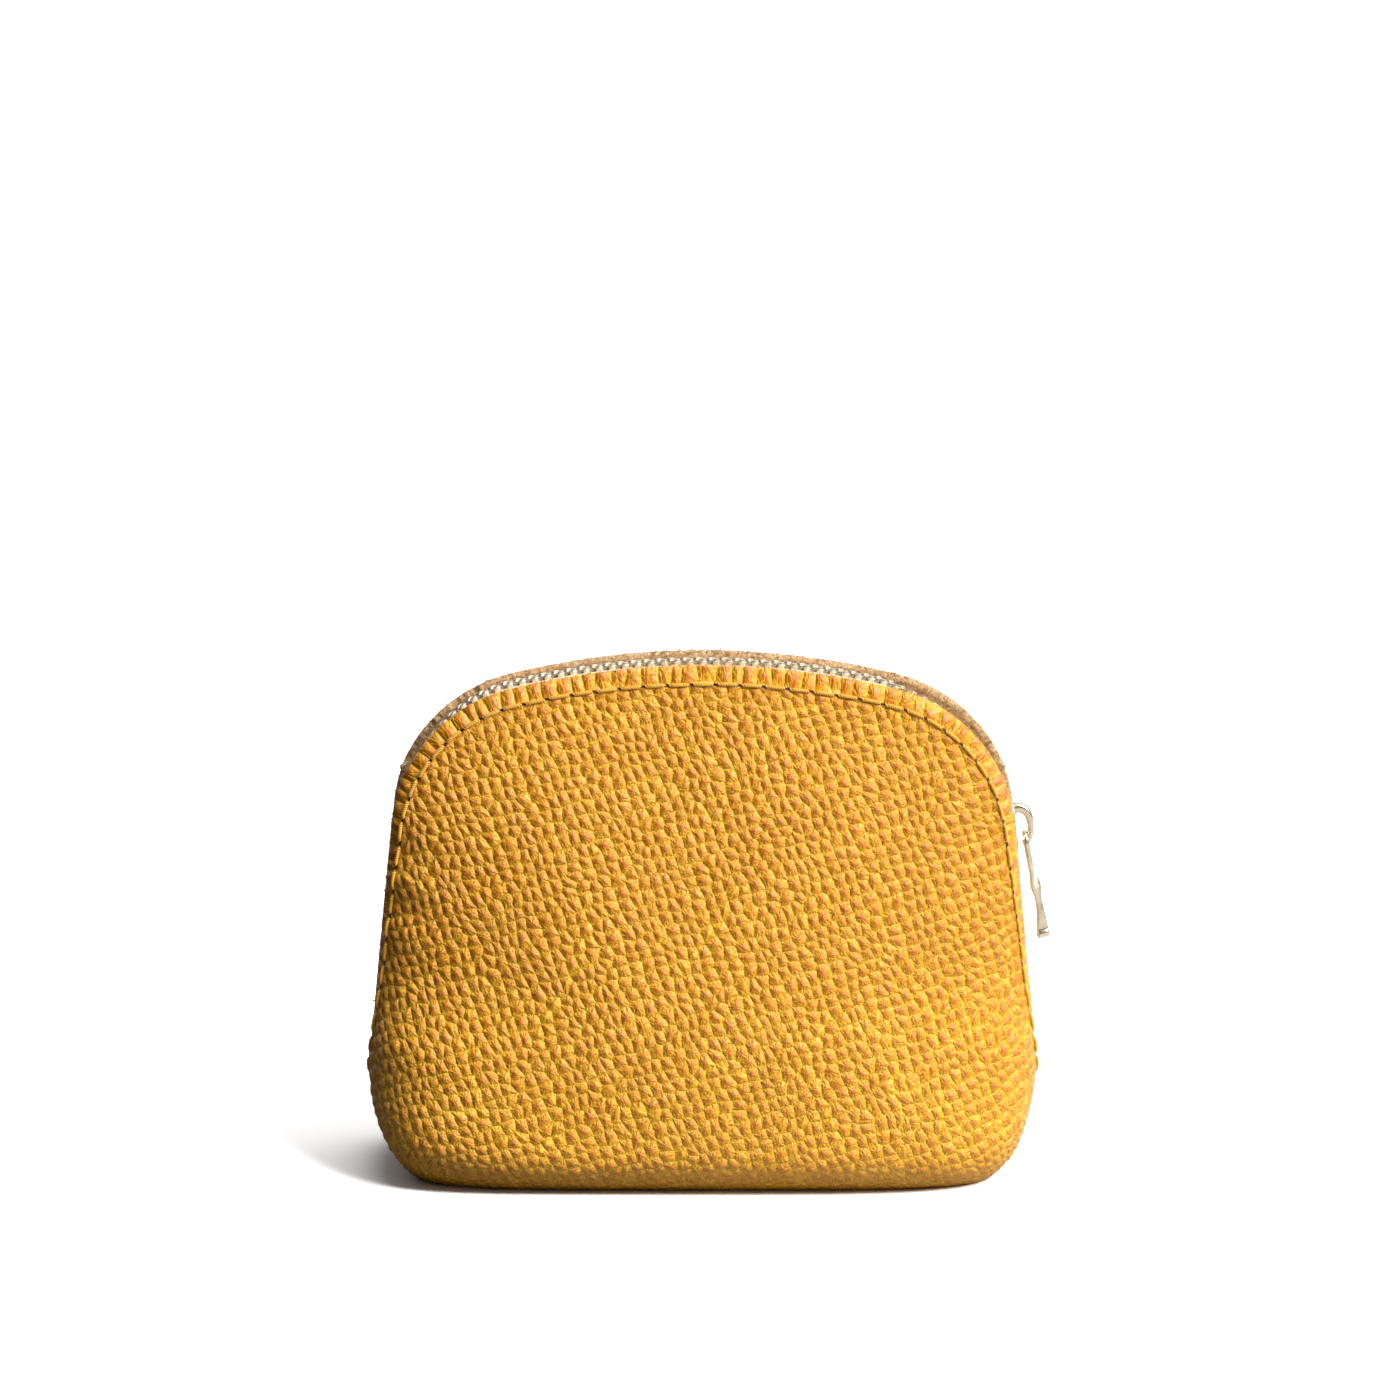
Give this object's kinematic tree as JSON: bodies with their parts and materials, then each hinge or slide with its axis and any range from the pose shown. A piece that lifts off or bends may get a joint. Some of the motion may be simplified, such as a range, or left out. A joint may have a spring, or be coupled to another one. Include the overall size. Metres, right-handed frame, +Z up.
{
  "type": "zippered pouch",
  "caption": "Small domed leather pouch with a flat boxed base and a metal zipper over the crown, with a slider, a swinging puller and a mouth that opens.",
  "frame": {"origin": "centre of the base, on the surface that the pouch stands on", "axes": "+X across the width towards the slider's side, -Y out of the front, +Z up"},
  "size_m": [0.1427, 0.062, 0.1081],
  "materials": {
    "leather": "mustard pebbled leather, satin",
    "tape": "cream woven zipper tape",
    "metal": "pale champagne gold plating, polished",
    "thread": "golden twisted thread"
  },
  "bodies": {
    "pouch": {"front_panel": "leather", "back_panel": "leather", "front_side_tape": "tape", "back_side_tape": "tape", "front_side_teeth": "metal", "back_side_teeth": "metal", "front_side_topstitch": "thread", "back_side_topstitch": "thread", "side_seam_stitches": "thread", "corner_seam_stitches": "thread", "bottom_seam_stitches": "thread", "top_stops": "metal", "bottom_stop": "metal"},
    "front_mouth": {"front_mouth_panel": "leather", "front_mouth_tape": "tape", "front_mouth_teeth": "metal", "front_mouth_topstitch": "thread"},
    "back_mouth": {"back_mouth_panel": "leather", "back_mouth_tape": "tape", "back_mouth_teeth": "metal", "back_mouth_topstitch": "thread"},
    "slider": {"slider_body": "metal", "slider_bridge": "metal"},
    "puller": {"puller": "metal"}
  },
  "joints": [
    {"name": "slider_travel", "type": "slide", "parent": "pouch", "child": "slider", "axis": [0.0999, 0, -0.995], "range_m": [0, 0.038], "deforming": ["front_side_teeth", "back_side_teeth", "front_side_tape", "back_side_tape"]},
    {"name": "puller_swing", "type": "hinge", "parent": "slider", "child": "puller", "pos_m": [0.06708, 0, 0.0711], "axis": [0, -1, 0], "range_deg": [0, 150]},
    {"name": "front_mouth_open", "type": "hinge", "parent": "pouch", "child": "front_mouth", "pos_m": [0, -0.016, 0.082], "axis": [1, 0, 0], "range_deg": [0, 35]},
    {"name": "back_mouth_open", "type": "hinge", "parent": "pouch", "child": "back_mouth", "pos_m": [0, 0.016, 0.082], "axis": [-1, 0, 0], "range_deg": [0, 35]}
  ],
  "couplings": [
    {"joint": "back_mouth_open", "follows": "front_mouth_open", "ratio": 1}
  ]
}
